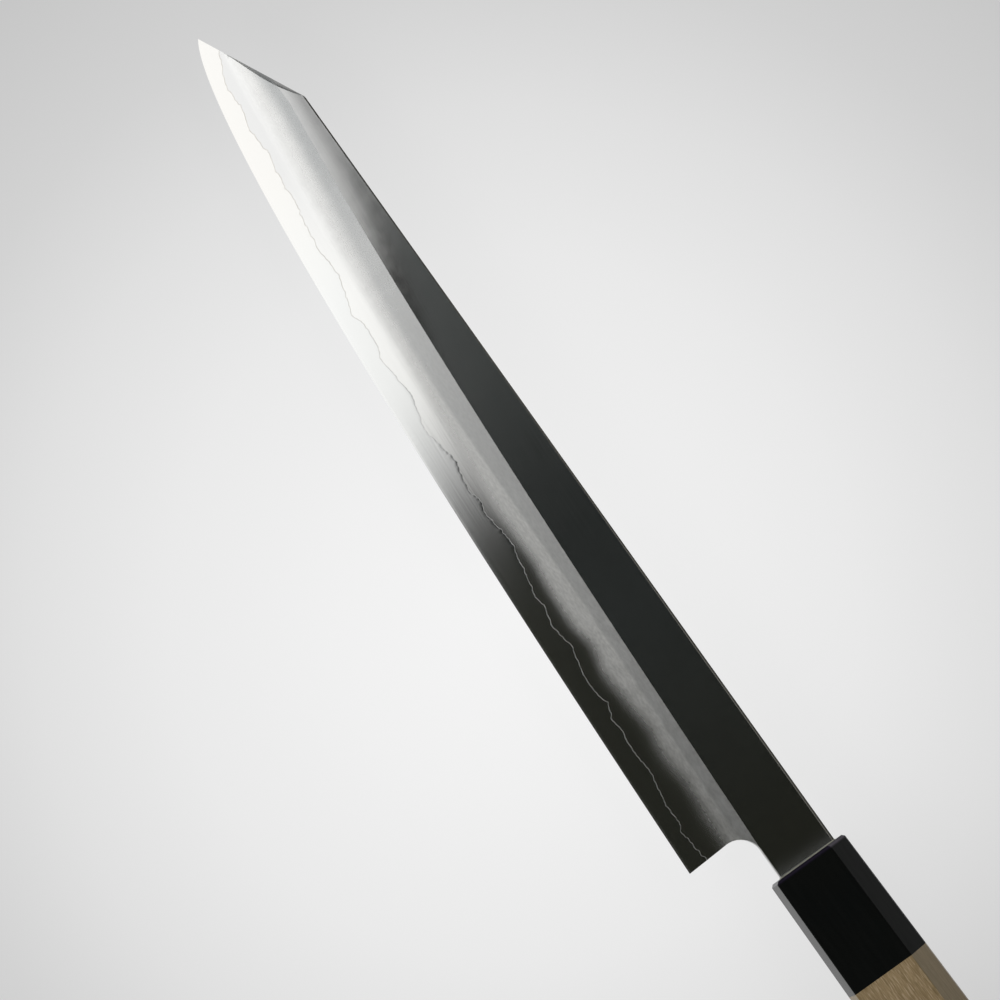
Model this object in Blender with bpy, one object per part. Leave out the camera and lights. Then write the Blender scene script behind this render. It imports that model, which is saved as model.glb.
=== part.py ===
"""A sujihiki, a Japanese slicing knife, with an angled tip and an octagonal handle.

The blade is one sheet of hard core steel between two sheets of softer stainless steel. The ground
bevel lets the core show along the cutting edge. The tang is cast in resin inside the handle, whose
horn ferrule and wooden body are held in line by a hidden dowel.

The knife lies on its right side. X runs along the handle with the tip towards -X, the spine faces
+Y, the cutting edge faces -Y, and the left face of the blade is up. All sizes are in metres.
"""

import math

import bmesh
import bpy
from mathutils import Matrix, Vector

# Gap between pieces that sit in one another
CLEARANCE = 0.0003

# Blade outline, ahead of the ferrule and down from the spine
TIP_AHEAD = 0.284
TIP_DROP = 0.0151
CLIP_RUN = 0.0316
HEEL_AHEAD = 0.015
HEEL_DROP = 0.038
NECK_HEIGHT = 0.0182
CHOIL_RADIUS = 0.0065
CHOIL_LEAN = math.radians(3.0)

# Sweep of the cutting edge: the direction it leaves each end in, and how far it holds it
EDGE_HEEL_ANGLE = math.radians(1.7)
EDGE_HEEL_HOLD = 0.1015
EDGE_TIP_ANGLE = math.radians(36.3)
EDGE_TIP_HOLD = 0.0225

# Ridge between the flat of the blade and its bevel
RIDGE_NECK_DROP = 0.0181
RIDGE_NECK_ANGLE = math.radians(1.9)
RIDGE_CLIP_DROP = 0.0044
RIDGE_CLIP_ANGLE = math.radians(6.0)

# Thickness of the blade and of its layers
NECK_THICKNESS = 0.0024
CLIP_THICKNESS = 0.00164
TANG_END_THICKNESS = 0.0018
CORE_THICKNESS = 0.00092
BEVEL_FOOT_THICKNESS = 0.0002
HONED_WIDTH = 0.0006
SPINE_CHAMFER = 0.0004
CLIP_FLAT = 0.0006
CLIP_FACET_ANGLE = math.radians(25.0)

# Share of the bevel, from the cutting edge up, where the core steel shows
CORE_SHARE = 0.31

# Handle: ferrule and body are one tapering octagon. Two wide faces lie beside the blade. Two steep
# faces rise from them to a narrow flat in line with the spine, and two more fall to one below.
HANDLE_LENGTH = 0.145
FERRULE_LENGTH = 0.0365
FRONT_HEIGHT = 0.0246
BUTT_HEIGHT = 0.0286
FRONT_WIDTH = 0.0184
BUTT_WIDTH = 0.0210
FRONT_STEEP_RISE = 0.00335
BUTT_STEEP_RISE = 0.0039
FRONT_NARROW_FLAT = 0.0015
BUTT_NARROW_FLAT = 0.0018
FERRULE_EDGE = 0.001
BUTT_EDGE = 0.0012

# How the blade sits on the handle
SPINE_ABOVE_AXIS = 0.0093
BLADE_PITCH = math.radians(0.7)

# Inside the handle
TANG_LENGTH = 0.100
TANG_FRONT_HEIGHT = 0.009
TANG_END_HEIGHT = 0.005
RESIN_WALL = 0.0005
RESIN_FLOOR = 0.001
DOWEL_WALL = 0.001
DOWEL_LENGTH = 0.060
FERRULE_FRONT_WALL = 0.006

# Fineness of the facets
EDGE_STATIONS = 30
EDGE_OVERRUN = 1.05
BEVEL_ROWS = 5
CHOIL_STEPS = 10
DOWEL_SIDES = 48

# Reach of a cutter past what it cuts
CUTTER_MARGIN = 0.004

# Values that follow from the ones above
CLIP_AHEAD = TIP_AHEAD - CLIP_RUN
CORE_HALF = CORE_THICKNESS / 2
FOOT_HALF = BEVEL_FOOT_THICKNESS / 2
RESIN_CHANNEL_HEIGHT = TANG_FRONT_HEIGHT + 2 * (RESIN_WALL + 2 * CLEARANCE)
RESIN_CHANNEL_WIDTH = NECK_THICKNESS + 2 * (RESIN_WALL + 2 * CLEARANCE)
RESIN_END = TANG_LENGTH + CLEARANCE + RESIN_FLOOR
DOWEL_RADIUS = math.hypot(RESIN_CHANNEL_HEIGHT, RESIN_CHANNEL_WIDTH) / 2 + DOWEL_WALL
DOWEL_START = FERRULE_FRONT_WALL + CLEARANCE
BORE_END = DOWEL_START + DOWEL_LENGTH + CLEARANCE


def clear_scene():
    for existing in list(bpy.data.objects):
        bpy.data.objects.remove(existing, do_unlink=True)


def make_material(name, colour, roughness, metallic=0.0):
    material = bpy.data.materials.new(name)
    material.use_nodes = True
    shader = material.node_tree.nodes["Principled BSDF"]
    shader.inputs["Base Color"].default_value = (*colour, 1.0)
    shader.inputs["Roughness"].default_value = roughness
    shader.inputs["Metallic"].default_value = metallic
    material.diffuse_color = (*colour, 1.0)
    return material


def add_object(name, mesh_builder, material=None):
    """Turn a finished bmesh into a scene object with outward faces.

    Triangulate needs the normals first, or it folds the notched end caps.
    """
    mesh_builder.normal_update()
    bmesh.ops.triangulate(mesh_builder, faces=mesh_builder.faces[:])
    bmesh.ops.recalc_face_normals(mesh_builder, faces=mesh_builder.faces[:])
    mesh = bpy.data.meshes.new(name)
    mesh_builder.to_mesh(mesh)
    mesh_builder.free()
    if material:
        mesh.materials.append(material)
    piece = bpy.data.objects.new(name, mesh)
    bpy.context.scene.collection.objects.link(piece)
    return piece


def loft(name, rings, material=None):
    """Skin a row of rings that all have the same number of points, and cap both ends."""
    builder = bmesh.new()
    rows = [[builder.verts.new(point) for point in ring] for ring in rings]
    count = len(rows[0])
    for near, far in zip(rows, rows[1:]):
        for i in range(count):
            j = (i + 1) % count
            builder.faces.new((near[i], near[j], far[j], far[i]))
    builder.faces.new(rows[0])
    builder.faces.new(rows[-1])
    return add_object(name, builder, material)


def box(name, low, high, material=None):
    """A box between two opposite corners."""
    builder = bmesh.new()
    size = Vector(high) - Vector(low)
    middle = (Vector(high) + Vector(low)) / 2
    place = Matrix.Translation(middle) @ Matrix.Diagonal(size).to_4x4()
    bmesh.ops.create_cube(builder, size=1.0, matrix=place)
    return add_object(name, builder, material)


def rod(name, start, end, radius, material=None):
    """A round bar along X."""
    builder = bmesh.new()
    place = Matrix.Translation(((start + end) / 2, 0, 0)) @ Matrix.Rotation(math.pi / 2, 4, "Y")
    bmesh.ops.create_cone(
        builder,
        cap_ends=True,
        segments=DOWEL_SIDES,
        radius1=radius,
        radius2=radius,
        depth=end - start,
        matrix=place,
    )
    return add_object(name, builder, material)


def as_cutter(piece):
    piece.hide_render = True
    piece.display_type = "WIRE"
    return piece


def cut(piece, cutter):
    modifier = piece.modifiers.new(cutter.name, "BOOLEAN")
    modifier.operation = "DIFFERENCE"
    modifier.solver = "EXACT"
    modifier.object = cutter


def edge_point(share):
    """Point of the cutting edge, from the heel at 0 to the tip at 1, as ahead and up."""
    heel = Vector((HEEL_AHEAD, -HEEL_DROP))
    tip = Vector((TIP_AHEAD, -TIP_DROP))
    leave = heel + EDGE_HEEL_HOLD * Vector((math.cos(EDGE_HEEL_ANGLE), math.sin(EDGE_HEEL_ANGLE)))
    arrive = tip - EDGE_TIP_HOLD * Vector((math.cos(EDGE_TIP_ANGLE), math.sin(EDGE_TIP_ANGLE)))
    rest = 1 - share
    return (
        rest**3 * heel
        + 3 * rest**2 * share * leave
        + 3 * rest * share**2 * arrive
        + share**3 * tip
    )


def blade_stations():
    """Places of the blade's cross sections, as distance ahead of the ferrule and height of the edge.

    The last ones lie past the tip, so that the clip cuts through the edge between two of them.
    """
    heel_slope = math.tan(EDGE_HEEL_ANGLE)
    behind = [-TANG_LENGTH, 0.0, HEEL_AHEAD / 2]
    stations = [(ahead, -HEEL_DROP + (ahead - HEEL_AHEAD) * heel_slope) for ahead in behind]
    for i in range(EDGE_STATIONS + 1):
        stations.append(tuple(edge_point(EDGE_OVERRUN * i / EDGE_STATIONS)))
    return stations


def ridge_height(ahead):
    """Height of the ridge: a smooth cubic from the neck to the clip, held level past both."""
    share = min(max(ahead / CLIP_AHEAD, 0.0), 1.0)
    neck_slope = math.tan(RIDGE_NECK_ANGLE) * CLIP_AHEAD
    clip_slope = math.tan(RIDGE_CLIP_ANGLE) * CLIP_AHEAD
    return (
        -RIDGE_NECK_DROP * (1 + 2 * share) * (1 - share) ** 2
        + neck_slope * share * (1 - share) ** 2
        - RIDGE_CLIP_DROP * share**2 * (3 - 2 * share)
        + clip_slope * share**2 * (share - 1)
    )


def flat_half(ahead):
    """Half the blade's thickness above the ridge. It thins to the tip and to the tang's end."""
    if ahead < 0:
        change = (TANG_END_THICKNESS - NECK_THICKNESS) * -ahead / TANG_LENGTH
    else:
        change = (CLIP_THICKNESS - NECK_THICKNESS) * ahead / CLIP_AHEAD
    return (NECK_THICKNESS + change) / 2


def bevel_point(share, ahead, edge, ridge):
    """Point of the convex bevel, from its foot at 0 to the ridge at 1, as height and half thickness.

    The curve is a power of the share that brings the surface through the core's face at CORE_SHARE.
    """
    foot = edge + HONED_WIDTH
    full_rise = flat_half(ahead) - FOOT_HALF
    power = math.log((CORE_HALF - FOOT_HALF) / full_rise) / math.log(CORE_SHARE)
    return foot + (ridge - foot) * share, FOOT_HALF + full_rise * share**power


def cladding_ring(ahead, edge):
    """Cross section of one outer layer: the flat of the blade and the upper part of its bevel."""
    ridge = ridge_height(ahead)
    half = flat_half(ahead)
    ring = [(0.0, CORE_HALF), (0.0, half - SPINE_CHAMFER / 2), (-SPINE_CHAMFER, half)]
    for row in range(BEVEL_ROWS):
        share = 1 - (1 - CORE_SHARE) * row / BEVEL_ROWS
        ring.append(bevel_point(share, ahead, edge, ridge))
    line, _ = bevel_point(CORE_SHARE, ahead, edge, ridge)
    ring.append((line, CORE_HALF))
    return ring


def core_ring(ahead, edge):
    """Cross section of the middle layer, whose bevel runs down to the cutting edge."""
    ridge = ridge_height(ahead)
    line, _ = bevel_point(CORE_SHARE, ahead, edge, ridge)
    left = [(0.0, CORE_HALF), (line, CORE_HALF)]
    for row in range(1, BEVEL_ROWS + 1):
        share = CORE_SHARE * (1 - row / BEVEL_ROWS)
        left.append(bevel_point(share, ahead, edge, ridge))
    right = [(height, -side) for height, side in reversed(left)]
    return left + [(edge, 0.0)] + right


def layer(name, ring_of, side, material):
    """One sheet of the blade, before it is cut to outline. Side is 1 for left and -1 for right."""
    rings = [
        [Vector((-ahead, height, side * depth)) for height, depth in ring_of(ahead, edge)]
        for ahead, edge in blade_stations()
    ]
    return loft(name, rings, material)


def clip_cutter():
    """Takes the spine off along the clip, and a facet off both of the clip's edges."""
    tip = Vector((-TIP_AHEAD, -TIP_DROP, 0))
    corner = Vector((-CLIP_AHEAD, 0, 0))
    along = (tip - corner).normalized()
    outward = Vector((along.y, -along.x, 0))
    reach = NECK_THICKNESS
    facet_depth = (reach - CLIP_FLAT / 2) / math.tan(CLIP_FACET_ANGLE)
    far = TIP_DROP + CUTTER_MARGIN
    section = [
        (far, -reach),
        (far, reach),
        (-facet_depth, reach),
        (0.0, CLIP_FLAT / 2),
        (0.0, -CLIP_FLAT / 2),
        (-facet_depth, -reach),
    ]
    ends = [corner - along * 2 * CUTTER_MARGIN, tip + along * 2 * CUTTER_MARGIN]
    rings = [[end + outward * out + Vector((0, 0, side)) for out, side in section] for end in ends]
    return as_cutter(loft("clip_cutter", rings))


def choil_cutter():
    """Takes away what is under the neck, up to the heel's upright edge and its rounded corner."""
    lean = math.tan(CHOIL_LEAN)
    below = -HEEL_DROP - CUTTER_MARGIN
    centre_up = -NECK_HEIGHT - CHOIL_RADIUS
    upright_at_centre = HEEL_AHEAD + lean * (HEEL_DROP + centre_up)
    centre_ahead = upright_at_centre - CHOIL_RADIUS / math.cos(CHOIL_LEAN)
    outline = [(-TANG_LENGTH - CUTTER_MARGIN, below), (-TANG_LENGTH - CUTTER_MARGIN, -NECK_HEIGHT)]
    for step in range(CHOIL_STEPS + 1):
        turn = math.pi / 2 - (math.pi / 2 + CHOIL_LEAN) * step / CHOIL_STEPS
        ahead = centre_ahead + CHOIL_RADIUS * math.cos(turn)
        outline.append((ahead, centre_up + CHOIL_RADIUS * math.sin(turn)))
    outline.append((HEEL_AHEAD - lean * CUTTER_MARGIN, below))
    sides = (-NECK_THICKNESS, NECK_THICKNESS)
    rings = [[Vector((-ahead, up, side)) for ahead, up in outline] for side in sides]
    return as_cutter(loft("choil_cutter", rings))


def tang_half_height(behind):
    change = (TANG_END_HEIGHT - TANG_FRONT_HEIGHT) * behind / TANG_LENGTH
    return (TANG_FRONT_HEIGHT + change) / 2


def tang_cutter(name, side):
    """Takes the blade down to the tang on one side of the handle's axis, behind the shoulder."""
    shoulder = -CLEARANCE
    end = TANG_LENGTH + CUTTER_MARGIN
    far = side * (HEEL_DROP + SPINE_ABOVE_AXIS)
    outline = [
        (shoulder, side * tang_half_height(shoulder)),
        (end, side * tang_half_height(end)),
        (end, far),
        (shoulder, far),
    ]
    sides = (-NECK_THICKNESS, NECK_THICKNESS)
    rings = [[Vector((along, up, depth)) for along, up in outline] for depth in sides]
    return as_cutter(loft(name, rings))


def make_blade(core_steel, clad_steel):
    """The three layers, cut to one outline and set on the handle at a slight pitch."""
    layers = [
        layer("blade_core", core_ring, 1, core_steel),
        layer("cladding_left", cladding_ring, 1, clad_steel),
        layer("cladding_right", cladding_ring, -1, clad_steel),
    ]
    in_blade_frame = [clip_cutter(), choil_cutter()]
    in_handle_frame = [tang_cutter("tang_cutter_upper", 1), tang_cutter("tang_cutter_lower", -1)]
    for piece in layers + in_blade_frame:
        piece.location = (0, SPINE_ABOVE_AXIS, 0)
        piece.rotation_euler = (0, 0, -BLADE_PITCH)
    for piece in layers:
        for cutter in in_blade_frame + in_handle_frame:
            cut(piece, cutter)
    return layers, in_blade_frame + in_handle_frame


def octagon_ring(along, inset=0.0):
    """Cross section of the handle: eight corners, from the narrow flats to the wide faces."""
    share = along / HANDLE_LENGTH
    half_height = (FRONT_HEIGHT + (BUTT_HEIGHT - FRONT_HEIGHT) * share) / 2 - inset
    half_width = (FRONT_WIDTH + (BUTT_WIDTH - FRONT_WIDTH) * share) / 2 - inset
    narrow_half = (FRONT_NARROW_FLAT + (BUTT_NARROW_FLAT - FRONT_NARROW_FLAT) * share) / 2
    wide_half = half_height - FRONT_STEEP_RISE - (BUTT_STEEP_RISE - FRONT_STEEP_RISE) * share
    corners = [
        (half_height, narrow_half),
        (wide_half, half_width),
        (-wide_half, half_width),
        (-half_height, narrow_half),
        (-half_height, -narrow_half),
        (-wide_half, -half_width),
        (wide_half, -half_width),
        (half_height, -narrow_half),
    ]
    return [Vector((along, up, side)) for up, side in corners]


def bore_cutter():
    """Round hole for the dowel, open in the joint between ferrule and body."""
    return as_cutter(rod("bore_cutter", FERRULE_FRONT_WALL, BORE_END, DOWEL_RADIUS + CLEARANCE))


def slot_cutter():
    """Close slot through the ferrule's front wall, where the tang goes in."""
    high = TANG_FRONT_HEIGHT / 2 + CLEARANCE
    wide = NECK_THICKNESS / 2 + CLEARANCE
    end = FERRULE_FRONT_WALL + CUTTER_MARGIN
    return as_cutter(box("slot_cutter", (-CUTTER_MARGIN, -high, -wide), (end, high, wide)))


def channel_cutter():
    """Wider slot for tang and resin, through the dowel and into the body."""
    high = RESIN_CHANNEL_HEIGHT / 2
    wide = RESIN_CHANNEL_WIDTH / 2
    end = RESIN_END + CLEARANCE
    low_corner = (FERRULE_FRONT_WALL - CUTTER_MARGIN, -high, -wide)
    return as_cutter(box("channel_cutter", low_corner, (end, high, wide)))


def make_ferrule(horn, bore, slot):
    rings = [
        octagon_ring(0.0, FERRULE_EDGE),
        octagon_ring(FERRULE_EDGE),
        octagon_ring(FERRULE_LENGTH),
    ]
    ferrule = loft("ferrule", rings, horn)
    cut(ferrule, bore)
    cut(ferrule, slot)
    return ferrule


def make_handle_body(wood, bore, channel):
    rings = [
        octagon_ring(FERRULE_LENGTH),
        octagon_ring(HANDLE_LENGTH - BUTT_EDGE),
        octagon_ring(HANDLE_LENGTH, BUTT_EDGE),
    ]
    body = loft("handle_body", rings, wood)
    cut(body, bore)
    cut(body, channel)
    return body


def make_dowel(wood, channel):
    dowel = rod("dowel", DOWEL_START, DOWEL_START + DOWEL_LENGTH, DOWEL_RADIUS, wood)
    cut(dowel, channel)
    return dowel


def make_resin(resin_material):
    """The cast sleeve round the tang, closed behind its end."""
    high = RESIN_CHANNEL_HEIGHT / 2 - CLEARANCE
    wide = RESIN_CHANNEL_WIDTH / 2 - CLEARANCE
    resin = box("tang_resin", (DOWEL_START, -high, -wide), (RESIN_END, high, wide), resin_material)
    stretch = (DOWEL_START - CUTTER_MARGIN, TANG_LENGTH + CLEARANCE)
    hollow_width = NECK_THICKNESS / 2 + CLEARANCE
    rings = []
    for along in stretch:
        up = tang_half_height(along) + CLEARANCE
        corners = [(up, hollow_width), (-up, hollow_width), (-up, -hollow_width), (up, -hollow_width)]
        rings.append([Vector((along, height, side)) for height, side in corners])
    hollow = as_cutter(loft("tang_hollow", rings))
    cut(resin, hollow)
    return resin, hollow


def set_on_ground(pieces, everything):
    """Hang all objects on one empty and move it, so the origin is under the middle of the knife."""
    holder = bpy.data.objects.new("knife", None)
    bpy.context.scene.collection.objects.link(holder)
    for item in everything:
        item.parent = holder
    bpy.context.view_layer.update()
    depsgraph = bpy.context.evaluated_depsgraph_get()
    corners = []
    for piece in pieces:
        evaluated = piece.evaluated_get(depsgraph)
        corners += [evaluated.matrix_world @ vertex.co for vertex in evaluated.data.vertices]
    low = Vector([min(corner[axis] for corner in corners) for axis in range(3)])
    high = Vector([max(corner[axis] for corner in corners) for axis in range(3)])
    holder.location = (-(low.x + high.x) / 2, -(low.y + high.y) / 2, -low.z)


def main():
    clear_scene()
    core_steel = make_material("core_steel", (0.72, 0.72, 0.71), 0.24, 1.0)
    clad_steel = make_material("clad_steel", (0.56, 0.56, 0.55), 0.32, 1.0)
    horn = make_material("horn", (0.012, 0.012, 0.011), 0.22)
    wood = make_material("magnolia_wood", (0.42, 0.33, 0.19), 0.62)
    hidden_wood = make_material("dowel_wood", (0.50, 0.40, 0.26), 0.70)
    resin_material = make_material("resin", (0.20, 0.14, 0.07), 0.45)

    bore = bore_cutter()
    slot = slot_cutter()
    channel = channel_cutter()
    layers, blade_cutters = make_blade(core_steel, clad_steel)
    resin, hollow = make_resin(resin_material)
    pieces = [
        *layers,
        make_ferrule(horn, bore, slot),
        make_handle_body(wood, bore, channel),
        make_dowel(hidden_wood, channel),
        resin,
    ]
    set_on_ground(pieces, pieces + blade_cutters + [bore, slot, channel, hollow])


main()
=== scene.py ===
# %% [markdown]
# # A long slicing knife on a pale table
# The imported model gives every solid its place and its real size, in metres. This script dresses
# those solids: it models the surfaces that a buyer would see, gives each one its finish, and sets
# the light and the camera of the photograph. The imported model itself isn't moved or changed.

import math
from bisect import bisect_right
from types import SimpleNamespace

import bpy
from mathutils import Matrix, Vector, noise


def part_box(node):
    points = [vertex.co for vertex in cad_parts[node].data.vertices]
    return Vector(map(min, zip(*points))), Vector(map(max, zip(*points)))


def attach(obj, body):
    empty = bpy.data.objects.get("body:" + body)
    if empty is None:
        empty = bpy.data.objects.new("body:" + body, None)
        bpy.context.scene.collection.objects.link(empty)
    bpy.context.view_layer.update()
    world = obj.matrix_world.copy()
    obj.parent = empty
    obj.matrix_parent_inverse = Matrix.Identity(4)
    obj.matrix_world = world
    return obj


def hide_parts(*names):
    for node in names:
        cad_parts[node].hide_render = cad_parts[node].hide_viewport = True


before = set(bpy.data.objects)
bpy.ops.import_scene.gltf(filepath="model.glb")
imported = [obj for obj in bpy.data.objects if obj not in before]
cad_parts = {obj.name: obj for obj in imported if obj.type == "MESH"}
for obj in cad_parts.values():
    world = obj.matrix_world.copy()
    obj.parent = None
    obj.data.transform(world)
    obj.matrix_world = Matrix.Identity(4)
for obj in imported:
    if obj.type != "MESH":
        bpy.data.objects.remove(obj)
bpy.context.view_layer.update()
bpy.ops.object.select_all(action="DESELECT")
print("nodes:", sorted(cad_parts))

# %% [markdown]
# ## The camera
# The knife was photographed from almost a metre above with a long lens, and the blade runs from
# corner to corner. The camera stands a little behind the spine, so the spine shows as a narrow
# strip. The lens is set by its angle of view, which doesn't depend on the size of a sensor.

# %% Set the camera
EYE = Vector((0.057672, 0.175057, 0.967820))
LOOK = Vector((-0.119258, -0.181499, -0.976133))
UP = Vector((-0.802863, 0.596027, -0.012734))
VIEW_ANGLE = math.radians(16.0)

optics = bpy.data.cameras.new("photo_camera")
optics.lens = optics.sensor_width / 2 / math.tan(VIEW_ANGLE / 2)
optics.clip_start = 0.05
optics.clip_end = 50.0
camera = bpy.data.objects.new("photo_camera", optics)
bpy.context.scene.collection.objects.link(camera)
turned = Matrix((LOOK.cross(UP), UP, -LOOK)).transposed()
camera.matrix_world = Matrix.Translation(EYE) @ turned.to_4x4()
bpy.context.scene.camera = camera
bpy.context.scene.view_settings.view_transform = "Standard"
print("lens:", round(optics.lens, 1), "mm")

# %% [markdown]
# ## Helpers for shader nodes
# A node material is a chain of small boxes. The helper below adds boxes to one tree. Where a
# number or a colour goes in, the output of another box may go in too. Its short methods are the
# boxes that come again and again.

# %% A helper that adds nodes
class Nodes:
    """Adds nodes to one tree. A value is a number, a colour or another node's output."""

    def __init__(self, tree):
        self.tree = tree

    def add(self, kind, values=None, **settings):
        """One node with its settings, and with values for its sockets, by name or number."""
        made = self.tree.nodes.new("ShaderNode" + kind)
        for name, value in settings.items():
            setattr(made, name, value)
        self.feed(made, values or {})
        return made

    def feed(self, node, values):
        """Links or sets the input sockets of a node."""
        for key, value in values.items():
            socket = node.inputs[key]
            if isinstance(value, bpy.types.NodeSocket):
                self.tree.links.new(value, socket)
            else:
                socket.default_value = (*value, 1.0) if socket.type == "RGBA" else value

    def math(self, operation, first, second=0.0, clamp=False):
        return self.add("Math", {0: first, 1: second}, operation=operation, use_clamp=clamp).outputs[0]

    def plus(self, first, second):
        return self.math("ADD", first, second)

    def times(self, first, *others):
        for other in others:
            first = self.math("MULTIPLY", first, other)
        return first

    def mix(self, share, first, second):
        """First where share is 0, second where it is 1: two numbers or two colours."""
        colours = any(isinstance(value, tuple) or getattr(value, "type", "") == "RGBA" for value in (first, second))
        kind, sockets, result = ("RGBA", (0, 6, 7), 2) if colours else ("FLOAT", (0, 2, 3), 0)
        return self.add("Mix", dict(zip(sockets, (share, first, second))), data_type=kind).outputs[result]

    def ramp(self, value, start, end, low=0.0, high=1.0, smooth=False):
        """Low up to start, high from end on, and a straight or a smooth ramp between."""
        values = {"Value": value, "From Min": start, "From Max": end, "To Min": low, "To Max": high}
        return self.add("MapRange", values, interpolation_type="SMOOTHSTEP" if smooth else "LINEAR").outputs[0]

    def place(self):
        return self.add("TexCoord").outputs["Object"]

    def stored(self, name):
        """A number that the mesh stores."""
        return self.add("Attribute", attribute_name=name).outputs["Fac"]

    def bump(self, height, distance, strength=1.0):
        return self.add("Bump", {"Height": height, "Distance": distance, "Strength": strength}).outputs[0]


def start_material(name):
    """A new material and its empty tree."""
    material = bpy.data.materials.new(name)
    material.use_nodes = True
    material.node_tree.nodes.clear()
    return material, Nodes(material.node_tree)


def finish(material, nodes, values, shader="BsdfPrincipled"):
    """Ends a material with its shader."""
    nodes.add("OutputMaterial", {"Surface": nodes.add(shader, values).outputs[0]})
    return material


print("helpers ready")

# %% [markdown]
# ## The effects that the finishes share
# Steel, horn and wood all carry long fine lines: hairlines from the whetstone, streaks in the horn,
# grain in the wood. One group makes them, as noise that is stretched along the knife. A second
# makes soft clouds. A third turns a value into a soft border, like that of the matte zone.

# %% Node groups: fine lines, clouds, soft border
def start_group(name, output, inputs):
    """A node group with one output. An input whose default is None takes a place."""
    tree = bpy.data.node_groups.new(name, "ShaderNodeTree")
    for label, default in inputs.items():
        kind = "NodeSocketVector" if default is None else "NodeSocketFloat"
        socket = tree.interface.new_socket(name=label, in_out="INPUT", socket_type=kind)
        if default is not None:
            socket.default_value = default
    tree.interface.new_socket(name=output, in_out="OUTPUT", socket_type="NodeSocketFloat")
    return Nodes(tree), tree.nodes.new("NodeGroupInput").outputs, tree.nodes.new("NodeGroupOutput")


nodes, given, result = start_group(
    "fine_lines", "Lines", {"Place": None, "Per metre": 1000.0, "Stretch": 20.0, "Detail": 3.0}
)
per_metre = given["Per metre"]
along = nodes.math("DIVIDE", per_metre, given["Stretch"])
scales = nodes.add("CombineXYZ", {"X": along, "Y": per_metre, "Z": per_metre}).outputs[0]
scaled = nodes.add("VectorMath", {0: given["Place"], 1: scales}, operation="MULTIPLY").outputs[0]
streaks = nodes.add("TexNoise", {"Vector": scaled, "Scale": 1.0, "Detail": given["Detail"], "Roughness": 0.6})
nodes.feed(result, {"Lines": streaks.outputs[0]})
fine_lines = nodes.tree

nodes, given, result = start_group("clouds", "Cloud", {"Place": None, "Per metre": 50.0})
puffs = nodes.add(
    "TexNoise", {"Vector": given["Place"], "Scale": given["Per metre"], "Detail": 4.0, "Roughness": 0.55}
)
nodes.feed(result, {"Cloud": nodes.ramp(puffs.outputs[0], 0.3, 0.7)})
clouds = nodes.tree

nodes, given, result = start_group("soft_border", "Above", {"Value": 0.0, "Border": 0.5, "Softness": 0.1})
half_soft = nodes.times(given["Softness"], 0.5)
start, end = nodes.math("SUBTRACT", given["Border"], half_soft), nodes.plus(given["Border"], half_soft)
nodes.feed(result, {"Above": nodes.ramp(given["Value"], start, end, smooth=True)})
soft_border = nodes.tree


def use(group):
    """A function that adds the group to a tree and feeds its inputs in their order."""
    return lambda nodes, *values: nodes.add("Group", dict(enumerate(values)), node_tree=group).outputs[0]


lines, cloud, above = use(fine_lines), use(clouds), use(soft_border)
print("groups:", [group.name for group in bpy.data.node_groups])

# %% [markdown]
# ## The table and the room
# The knife lies on a pale seamless table. Its glow is a painted pool of light, brightest in the
# middle. Light enough to make it white would wash out the knife. So most of its paleness is its
# own glow, which only the camera and shiny surfaces see, and a small part is plain paint, which
# takes the knife's shadow. A pale room surrounds it.

# %% Table and room
FLOOR_RADIUS = 9.0
FLOOR_DROP = 0.0002
GLOW_SHARE = 0.88
GLOW_CENTRE = (-0.035, -0.022, 0.0)
GLOW_REACH = 0.30
# The glow's tones, from its centre out to its reach: a painted pool of light.
GLOW_TONES = ((0.0, 0.95), (0.17, 0.905), (0.33, 0.845), (0.47, 0.755), (0.60, 0.64), (0.77, 0.545), (1.0, 0.50))
PAINT = (0.82, 0.82, 0.82)
ROOM = (0.52, 0.52, 0.52)


def seen_directly(nodes):
    """1 for rays from the camera, a mirror or glass, and 0 for the light that falls on things."""
    rays = nodes.add("LightPath").outputs
    seen = nodes.math("MAXIMUM", rays["Is Camera Ray"], rays["Is Glossy Ray"])
    return nodes.math("MAXIMUM", seen, rays["Is Transmission Ray"])


pale_table, nodes = start_material("pale_table")
from_centre = nodes.add("VectorMath", {0: nodes.place(), 1: GLOW_CENTRE}, operation="DISTANCE").outputs["Value"]
tones = nodes.add("ValToRGB", {"Fac": nodes.ramp(from_centre, 0.0, GLOW_REACH)})
stops = tones.color_ramp.elements
for position, tone in GLOW_TONES:
    stop = {0.0: stops[0], 1.0: stops[len(stops) - 1]}.get(position) or stops.new(position)
    stop.color = (tone, tone, tone, 1.0)
paint = nodes.add("BsdfDiffuse", {"Color": PAINT})
glow = nodes.add("Emission", {"Color": tones.outputs["Color"]})
share = nodes.times(seen_directly(nodes), GLOW_SHARE)
top = nodes.add("MixShader", {0: share, 1: paint.outputs[0], 2: glow.outputs[0]})
from_below = nodes.add("NewGeometry").outputs["Backfacing"]
clear = nodes.add("BsdfTransparent")
finish(pale_table, nodes, {0: from_below, 1: top.outputs[0], 2: clear.outputs[0]}, "MixShader")

bpy.ops.mesh.primitive_circle_add(vertices=128, radius=FLOOR_RADIUS, fill_type="NGON", location=(0, 0, -FLOOR_DROP))
floor = bpy.context.active_object
floor.name = "table_top"
bpy.ops.object.transform_apply(location=True)
floor.data.materials.append(pale_table)

world = bpy.data.worlds.new("pale_room")
bpy.context.scene.world = world
world.use_nodes = True
world.node_tree.nodes.clear()
nodes = Nodes(world.node_tree)
background = nodes.add("Background", {"Color": ROOM, "Strength": nodes.mix(seen_directly(nodes), 1.1, 1.0)})
nodes.add("OutputWorld", {"Surface": background.outputs[0]})
print("table radius:", FLOOR_RADIUS, "m")

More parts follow.
